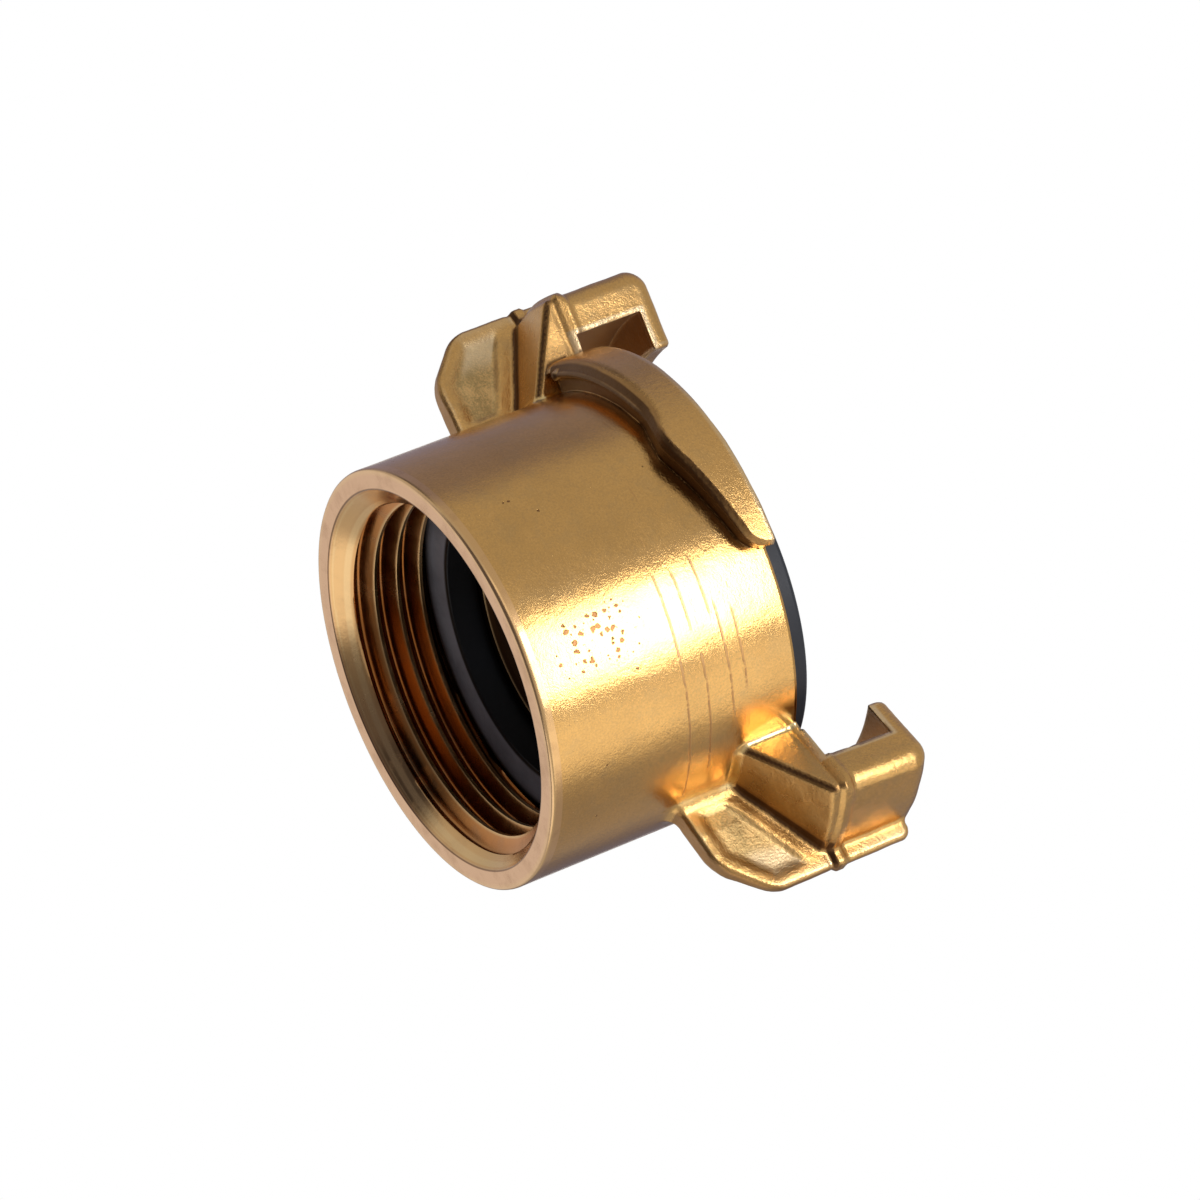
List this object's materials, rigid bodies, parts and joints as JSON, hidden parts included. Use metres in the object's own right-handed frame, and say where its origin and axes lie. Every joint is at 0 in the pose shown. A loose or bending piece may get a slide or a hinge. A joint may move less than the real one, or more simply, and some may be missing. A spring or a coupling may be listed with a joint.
{
  "type": "hose coupling",
  "caption": "Twist-lock brass hose coupling half with hooked claws, locking ramps, grip fins, a rubber face seal and an internal pipe thread.",
  "frame": {"origin": "centre of the thread end face, which the part stands on", "axes": "+Z along the axis from the thread end to the coupling face, +X through the middle of a claw"},
  "size_m": [0.0594, 0.0434, 0.0339],
  "materials": {
    "brass": "forged and turned, satin",
    "seal_rubber": "smooth moulded, soft sheen",
    "gasket_rubber": "matt"
  },
  "bodies": {
    "root": {"body": "brass", "face_seal": "seal_rubber", "thread_gasket": "gasket_rubber"}
  },
  "joints": []
}
